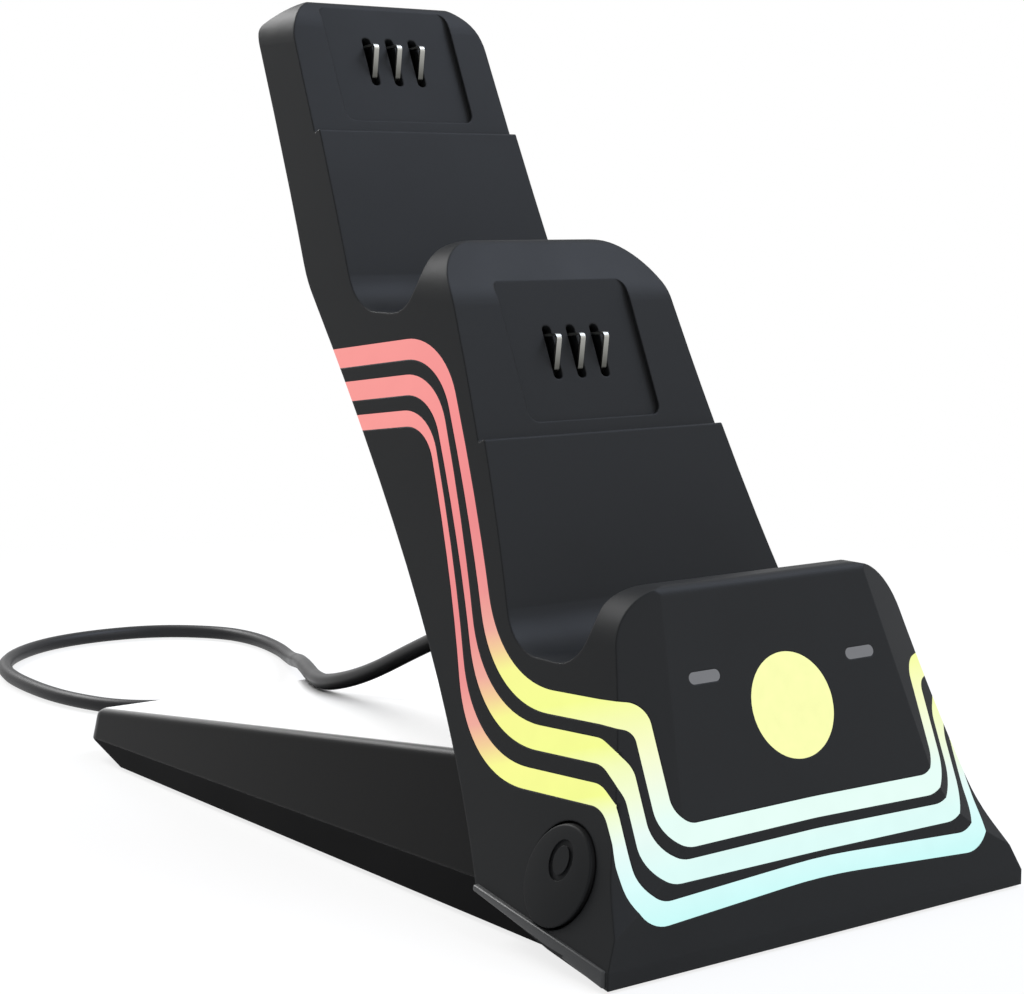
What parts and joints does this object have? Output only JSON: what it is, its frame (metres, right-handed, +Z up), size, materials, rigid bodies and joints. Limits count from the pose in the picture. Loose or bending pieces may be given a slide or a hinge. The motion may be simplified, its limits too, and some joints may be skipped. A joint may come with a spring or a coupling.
{
  "type": "controller charging dock",
  "caption": "Stair-shaped charging stand that holds game controllers in stepped cradles with spring contacts, on a long wedge foot, with light stripes and a lead.",
  "frame": {"origin": "middle of the dock's footprint on the table", "axes": "+Z up, +Y from the front block to the tail of the foot, +X to the right of someone facing the front block"},
  "size_m": [0.1545, 0.3125, 0.1594],
  "materials": {
    "housing": "satin dark grey",
    "foot": "semi-gloss dark grey",
    "plate": "satin dark grey",
    "rubber": "matte black",
    "light": "translucent, lit",
    "window": "smoked translucent",
    "block": "black",
    "contact": "plated spring metal",
    "board": "solder-masked laminate",
    "screw": "zinc plated",
    "lead": "black soft plastic",
    "plug_metal": "bright plated"
  },
  "bodies": {
    "dock": {"front_shell": "housing", "rear_cover": "housing", "base_plate": "plate", "foot_shell": "foot", "rubber_feet": "rubber", "light_guide_upper": "light", "light_guide_middle": "light", "light_guide_lower": "light", "emblem_lens": "light", "charge_window_left": "window", "charge_window_right": "window", "button_switch": "block", "main_board": "board", "lower_contact_block": "block", "upper_contact_block": "block", "lower_contact_board": "board", "upper_contact_board": "board", "strain_relief": "lead", "base_screws": "screw", "cover_screws": "screw", "board_screws": "screw", "cord": "lead", "cord_coil": "lead", "cord_tie": "lead", "plug_body": "lead", "plug_shell": "plug_metal"},
    "mode_button": {"mode_button": "housing"},
    "lower_contact_left": {"lower_contact_left": "contact"},
    "lower_contact_middle": {"lower_contact_middle": "contact"},
    "lower_contact_right": {"lower_contact_right": "contact"},
    "upper_contact_left": {"upper_contact_left": "contact"},
    "upper_contact_middle": {"upper_contact_middle": "contact"},
    "upper_contact_right": {"upper_contact_right": "contact"}
  },
  "joints": [
    {"name": "mode_button_press", "type": "slide", "parent": "dock", "child": "mode_button", "axis": [1, 0, 0], "range_m": [0, 0.0008], "stiffness_N_per_m": 1500},
    {"name": "lower_contact_left_flex", "type": "hinge", "parent": "dock", "child": "lower_contact_left", "pos_m": [-0.0055, -0.02645, 0.08798], "axis": [-1, 0, 0], "range_deg": [0, 12], "stiffness_Nm_per_rad": 0.02},
    {"name": "lower_contact_middle_flex", "type": "hinge", "parent": "dock", "child": "lower_contact_middle", "pos_m": [0, -0.02645, 0.08798], "axis": [-1, 0, 0], "range_deg": [0, 12], "stiffness_Nm_per_rad": 0.02},
    {"name": "lower_contact_right_flex", "type": "hinge", "parent": "dock", "child": "lower_contact_right", "pos_m": [0.0055, -0.02645, 0.08798], "axis": [-1, 0, 0], "range_deg": [0, 12], "stiffness_Nm_per_rad": 0.02},
    {"name": "upper_contact_left_flex", "type": "hinge", "parent": "dock", "child": "upper_contact_left", "pos_m": [-0.0055, 0.03285, 0.14298], "axis": [-1, 0, 0], "range_deg": [0, 12], "stiffness_Nm_per_rad": 0.02},
    {"name": "upper_contact_middle_flex", "type": "hinge", "parent": "dock", "child": "upper_contact_middle", "pos_m": [0, 0.03285, 0.14298], "axis": [-1, 0, 0], "range_deg": [0, 12], "stiffness_Nm_per_rad": 0.02},
    {"name": "upper_contact_right_flex", "type": "hinge", "parent": "dock", "child": "upper_contact_right", "pos_m": [0.0055, 0.03285, 0.14298], "axis": [-1, 0, 0], "range_deg": [0, 12], "stiffness_Nm_per_rad": 0.02}
  ]
}
